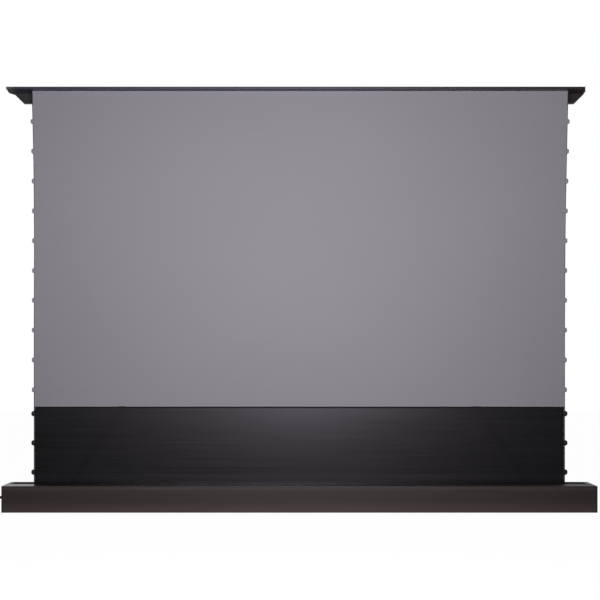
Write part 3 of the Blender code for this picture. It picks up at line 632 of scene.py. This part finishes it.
def make_cord(side_name, side, material):
    """A tension cord: a circle carried up beside the cloth's edge."""
    node = side_name + "_tension_cord"
    low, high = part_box(node)
    z = np.linspace(low[2] + CORD_RADIUS, high[2], CORD_RINGS)
    angle = np.linspace(0, math.tau, CORD_FACETS, endpoint=False)
    middle = middle_x(z) + side * (edge_x(z) + CORD_OFFSET)
    x = middle[:, None] + CORD_RADIUS * np.cos(angle)[None]
    y = np.broadcast_to(CORD_RADIUS * np.sin(angle)[None], x.shape)
    points = np.stack([x, y, np.broadcast_to(z[:, None], x.shape)], axis=-1)
    uv = np.stack([np.broadcast_to(angle[None], x.shape) / math.tau, points[..., 2]], axis=-1)
    count = CORD_RINGS * CORD_FACETS
    ends = [list(range(CORD_FACETS)), list(range(count - CORD_FACETS, count))[::-1]]
    faces = grid_faces(CORD_RINGS, CORD_FACETS, closed_columns=True)
    polygons = [face[::-1] for face in faces] + ends
    mesh = finished_mesh(node + "_braid", points, polygons, uv)
    return show_piece(node + "_braid", mesh, material, "housing", [node])


# Lid, arms and pins


def make_lid_plate(material):
    """The lid's hollow extrusion with its long edges rounded."""
    low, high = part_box("lid_plate")
    wall = LID_WALL
    outside = [(low[1], low[2]), (high[1], low[2]), (high[1], high[2]), (low[1], high[2])]
    inside = [(low[1] + wall, low[2] + wall), (high[1] - wall, low[2] + wall)]
    inside += [(high[1] - wall, high[2] - wall), (low[1] + wall, high[2] - wall)]
    outer, _ = rounded_outline(outside, LID_EDGE_ROUND, 6)
    inner, _ = rounded_outline(inside, LID_INNER_ROUND, 6)
    mesh = finished_mesh("lid_skin", *hollow_bar(outer, inner, low[0], high[0]))
    return show_piece("lid_skin", mesh, material, "lid", ["lid_plate"])


def make_lid_cap(side_name, corners, material):
    """A lid cap with rounded corners in plan and rounded top and bottom edges."""
    node = side_name + "_lid_cap"
    low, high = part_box(node)
    outline, normals = rounded_outline(corners, CAP_CORNER, 6)
    points, polygons = rounded_plate(outline, normals, low[2], high[2], CAP_EDGE_ROUND, 4)
    mesh = finished_mesh(node + "_moulding", points, polygons)
    return show_piece(node + "_moulding", mesh, material, "lid", [node])


def make_arm(node, lower_end, upper_end, front_y, rear_y, body, material):
    """An arm as a closed extrusion with round ends and rounded edges, between its two pivots."""
    lower_end, upper_end = np.asarray(lower_end, float), np.asarray(upper_end, float)
    along = upper_end - lower_end
    length = np.linalg.norm(along)
    along /= length
    across = np.array([along[1], -along[0]])
    radius, steps = ARM_WIDTH / 2, 16
    angle = np.linspace(0, math.pi, steps)
    top = np.column_stack([radius * np.cos(angle), length + radius * np.sin(angle)])
    bottom = np.column_stack([-radius * np.cos(angle), -radius * np.sin(angle)])
    top_normals = np.column_stack([np.cos(angle), np.sin(angle)])
    outline, normals = np.concatenate([top, bottom]), np.concatenate([top_normals, -top_normals])
    flat, polygons = rounded_plate(outline, normals, front_y, rear_y, ARM_EDGE_ROUND, 4)
    place = lower_end + flat[..., :1] * across + flat[..., 1:2] * along
    points = np.stack([place[..., 0], flat[..., 2], place[..., 1]], axis=-1)
    mesh = finished_mesh(node + "_bar", points, polygons)
    return show_piece(node + "_bar", mesh, material, body, [node])


def make_pin(node, body, material):
    """A turned pin with chamfered heads, over the length of its solid."""
    low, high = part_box(node)
    x, z = (low[0] + high[0]) / 2, (low[2] + high[2]) / 2
    head = (high[0] - low[0]) / 2
    bevel = PIN_BEVEL
    thick = PIN_HEAD if node.endswith("elbow_pin") else PIN_KEEPER
    front, rear = low[1], high[1]
    keeper = head if node.endswith("elbow_pin") else PIN_KEEPER_RADIUS
    profile = [
        (front, GROOVE_INNER_RADIUS),
        (front + GROOVE_DEPTH, GROOVE_MIDDLE_RADIUS),
        (front, GROOVE_OUTER_RADIUS),
        (front, head - bevel),
        (front + bevel, head),
        (front + PIN_HEAD, head),
        (front + PIN_HEAD, PIN_SHANK_RADIUS),
        (rear - thick, PIN_SHANK_RADIUS),
        (rear - thick, keeper),
        (rear - bevel, keeper),
        (rear, keeper - bevel),
        (rear, DISH_RADIUS),
        (rear - DISH_DEPTH, DISH_FLOOR_RADIUS),
    ]
    mesh = finished_mesh(node + "_turned", *lathe(profile, (x, 0, z), "Y"))
    return show_piece(node + "_turned", mesh, material, body, [node])


def end_cap_screws():
    """Four domed screws with a socket on each end cap."""
    shapes = []
    for side_name, side in SIDES:
        low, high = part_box(side_name + "_end_cap")
        face = high[0] if side > 0 else low[0]
        for y in (low[1] + SCREW_INSET, high[1] - SCREW_INSET):
            for z in (low[2] + SCREW_INSET, high[2] - SCREW_INSET):
                turned = [(side * along, radius) for along, radius in SCREW_PROFILE]
                shapes.append(lathe(turned, (face + side * TOUCH / 3, y, z), "X", 24))
    return shapes


# Finishes

cloth_grey = screen_cloth("cloth_grey", (0.262, 0.250, 0.272), (0.286, 0.274, 0.298), 0.60)
cloth_back = screen_cloth("cloth_back", (0.016, 0.016, 0.017), (0.022, 0.022, 0.023), 0.62)
cloth_black = screen_cloth(
    "cloth_black",
    (0.0030, 0.0026, 0.0028),
    (0.0042, 0.0037, 0.0040),
    0.31,
    opacity=0.965,
    sheen_tint=(0.98, 0.92, 1.0),
    crease_z=CREASE_Z,
)
tab_black = screen_cloth("tab_black", (0.0050, 0.0047, 0.0048), (0.0072, 0.0068, 0.0072), 0.50)
welt_black = screen_cloth("welt_black", (0.0022, 0.0022, 0.0028), (0.0036, 0.0036, 0.0046), 0.80)
# Housing: the pale colour given last paints light bounced up from the floor on the lower front, and a highlight
# band along the upper edge.
anodised = anodised_finish(
    "anodised_brown_black", (0.034, 0.0242, 0.0212), (0.045, 0.0335, 0.0300), painted_light_colour=(0.084, 0.063, 0.061)
)
# Lid and beam: the colour given last is painted shade, darker towards the right end.
lid_anodised = anodised_finish(
    "anodised_blue_black", (0.040, 0.037, 0.055), (0.052, 0.049, 0.072), shaded_right_end=(0.032, 0.025, 0.029)
)
beam_anodised = anodised_finish(
    "anodised_grey_black", (0.030, 0.0265, 0.029), (0.041, 0.036, 0.040), shaded_right_end=(0.029, 0.020, 0.021)
)
moulded = moulded_finish("moulded_black", (0.020, 0.0185, 0.0180), (0.030, 0.0275, 0.0265), 0.48)
# Painted light: a lighter copy of the moulded finish for the left lid cap, which stands in the light from the
# left; the right cap keeps the darker moulded finish.
painted_lit_cap = moulded_finish("moulded_lid_cap_painted_light", (0.092, 0.080, 0.074), (0.120, 0.106, 0.098), 0.60)
rubber = moulded_finish("black_rubber", (0.012, 0.012, 0.012), (0.020, 0.020, 0.020), 0.80)
zinc = plated_finish("zinc_plate", (0.50, 0.50, 0.49), (0.66, 0.66, 0.64), 0.38)
steel = plated_finish("bright_steel", (0.46, 0.46, 0.47), (0.62, 0.62, 0.62), 0.26)
tube_aluminium = plated_finish("drawn_aluminium", (0.60, 0.61, 0.62), (0.72, 0.73, 0.74), 0.32)
arm_coat = moulded_finish("black_powder_coat", (0.018, 0.018, 0.0185), (0.027, 0.027, 0.028), 0.42)
cord_braid = braided_finish("cord_braid", (0.026, 0.026, 0.031), (0.062, 0.063, 0.072), SEAM_Z)

NODE_FINISHES = {
    "anodised_black": anodised,
    "moulded_black": moulded,
    "rubber": rubber,
    "zinc_steel": zinc,
    "bright_steel": steel,
    "plain_aluminium": tube_aluminium,
    "arm_paint": arm_coat,
    "grey_cloth": cloth_grey,
    "black_cloth": cloth_back,
    "cord": cord_braid,
}
for row in frame["record"]["subparts"]:
    node = frame["nodes"][row["node"]]
    if not node.material_slots:
        node.data.materials.append(None)
    node.material_slots[0].material = NODE_FINISHES[row["material_slot"]]
frame["nodes"]["lid_beam"].material_slots[0].material = beam_anodised

# Pivots, read from the frame

pivots = {joint["name"]: joint["pos_m"] for joint in frame["joints"]}
base_pivot_z = pivots["left_base_hinge"][2]
elbow_x, elbow_z = abs(pivots["left_elbow_hinge"][0]), pivots["left_elbow_hinge"][2]
pivot_x, lid_pivot_z = abs(pivots["lid_hinge"][0]), pivots["lid_hinge"][2]

# Pieces

soft = [
    make_cloth("grey_cloth", "screen_fabric", 150, cloth_grey, cloth_back),
    make_cloth("black_cloth", "black_drop", 50, cloth_black, cloth_black),
    make_welt(welt_black),
]
for side_name, side in SIDES:
    soft.append(make_tabs(side_name, side, 1, BLACK_TABS, BLACK_TAB_REACH, tab_black))
    soft.append(
        make_tabs(side_name, side, BLACK_TABS + 1, TABS_A_SIDE, GREY_TAB_REACH, cloth_grey)
    )
    soft.append(make_cord(side_name, side, cord_braid))
for piece in soft:
    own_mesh(piece)

# Lid: the caps' outlines in plan slant from the plate's ends to narrow tips
make_lid_plate(lid_anodised)
left_low, left_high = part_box("left_lid_cap")
right_low, right_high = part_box("right_lid_cap")
lid_front, lid_rear = left_low[1], left_high[1]
# The left cap wears the lighter, painted-light copy of the moulded finish.
make_lid_cap(
    "left",
    [
        (left_high[0], lid_front),
        (left_high[0], lid_rear),
        (left_high[0] - 0.0130, lid_rear),
        (left_low[0], 0.045),
        (left_low[0], 0.030),
        (left_high[0] - 0.0249, lid_front),
    ],
    painted_lit_cap,
)
make_lid_cap(
    "right",
    [
        (right_low[0], lid_rear),
        (right_low[0], lid_front),
        (right_low[0] + 0.0062, lid_front),
        (right_high[0], 0.018),
        (right_high[0], 0.045),
        (right_low[0] + 0.0120, lid_rear),
    ],
    moulded,
)
for side_name, side in SIDES:
    elbow = (side * elbow_x, elbow_z)
    for level, start, end in (
        ("lower", (side * pivot_x, base_pivot_z), elbow),
        ("upper", elbow, (side * pivot_x, lid_pivot_z)),
    ):
        node = f"{side_name}_{level}_arm"
        low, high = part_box(node)
        make_arm(node, start, end, low[1], high[1], node, arm_coat)
    make_pin(side_name + "_elbow_pin", side_name + "_lower_arm", steel)
    make_pin(side_name + "_lid_pin", "lid", steel)
screw_mesh = finished_mesh("end_cap_screws", *many(end_cap_screws()))
show_piece("end_cap_screws", screw_mesh, steel, "housing", [])

# Studio


def make_floor():
    """A pale floor; to the camera it is close to white, and it still takes the object's shadow."""
    mesh = bpy.data.meshes.new("studio_floor")
    reach = FLOOR_REACH
    corners = [(-reach, -reach, 0), (reach, -reach, 0), (reach, reach, 0), (-reach, reach, 0)]
    mesh.from_pydata(corners, [], [(0, 1, 2, 3)])
    floor = bpy.data.objects.new("studio_floor", mesh)
    bpy.context.scene.collection.objects.link(floor)
    material = bpy.data.materials.new("studio_floor")
    material.use_nodes = True
    tree = material.node_tree
    tree.nodes.clear()
    matte = tree.nodes.new("ShaderNodeBsdfDiffuse")
    matte.inputs["Color"].default_value = (*FLOOR_GREY, 1.0)
    glow = tree.nodes.new("ShaderNodeEmission")
    glow.inputs["Strength"].default_value = FLOOR_GLOW
    rays = tree.nodes.new("ShaderNodeLightPath")
    share = combined_value(tree, "MULTIPLY", rays.outputs["Is Camera Ray"], FLOOR_GLOW_SHARE)
    mix = tree.nodes.new("ShaderNodeMixShader")
    output = tree.nodes.new("ShaderNodeOutputMaterial")
    tree.links.new(share, mix.inputs["Fac"])
    tree.links.new(matte.outputs["BSDF"], mix.inputs[1])
    tree.links.new(glow.outputs["Emission"], mix.inputs[2])
    tree.links.new(mix.outputs["Shader"], output.inputs["Surface"])
    mesh.materials.append(material)
    floor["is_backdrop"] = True


def make_world():
    """White behind the object, a dimmer room in front of it, and plain white to the camera."""
    world = bpy.data.worlds.new("studio")
    bpy.context.scene.world = world
    world.use_nodes = True
    tree = world.node_tree
    tree.nodes.clear()
    coordinates = tree.nodes.new("ShaderNodeTexCoord")
    axes = tree.nodes.new("ShaderNodeSeparateXYZ")
    tree.links.new(coordinates.outputs["Generated"], axes.inputs["Vector"])
    behind = spread_out(tree, axes.outputs["Y"], ROOM_LEVEL, BACKDROP_LEVEL, -0.2, 0.5)
    rays = tree.nodes.new("ShaderNodeLightPath")
    level = combined_value(tree, "MAXIMUM", behind, rays.outputs["Is Camera Ray"])
    light = tree.nodes.new("ShaderNodeBackground")
    light.inputs["Color"].default_value = (1.0, 1.0, 1.0, 1.0)
    output = tree.nodes.new("ShaderNodeOutputWorld")
    tree.links.new(level, light.inputs["Strength"])
    tree.links.new(light.outputs["Background"], output.inputs["Surface"])


def make_lamp(name, size, power, side, height, tilt, colour):
    """A soft lamp in front of the cloth, out of the camera's view, tilted up by some degrees."""
    lamp = bpy.data.lights.new(name, "AREA")
    lamp.shape = "RECTANGLE"
    lamp.size, lamp.size_y = size
    lamp.energy = power
    lamp.color = colour
    light = bpy.data.objects.new(name, lamp)
    light.location = (side, -LAMP_DISTANCE, height)
    light.rotation_euler = (math.radians(90 + tilt), 0.0, 0.0)
    light.visible_camera = False
    bpy.context.scene.collection.objects.link(light)


def make_camera():
    """The photograph's camera."""
    lens = bpy.data.cameras.new("camera")
    lens.lens = CAMERA_LENS
    lens.sensor_width = CAMERA_SENSOR
    lens.shift_y = CAMERA_SHIFT_UP
    lens.clip_end = 60.0
    camera = bpy.data.objects.new("camera", lens)
    camera.location = (CAMERA_SIDE, -CAMERA_DISTANCE, CAMERA_HEIGHT)
    camera.rotation_euler = (math.pi / 2, 0.0, 0.0)
    bpy.context.scene.collection.objects.link(camera)
    bpy.context.scene.camera = camera


make_floor()
make_world()
make_lamp("key", (1.8, 0.8), power=57.0, side=-0.07, height=1.30, tilt=9, colour=(0.96, 0.955, 1.0))
make_lamp("low", (0.5, 0.3), power=13.2, side=0.03, height=0.82, tilt=0, colour=(0.98, 0.92, 1.0))
make_camera()
bpy.context.scene.view_settings.view_transform = "Standard"

low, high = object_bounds()
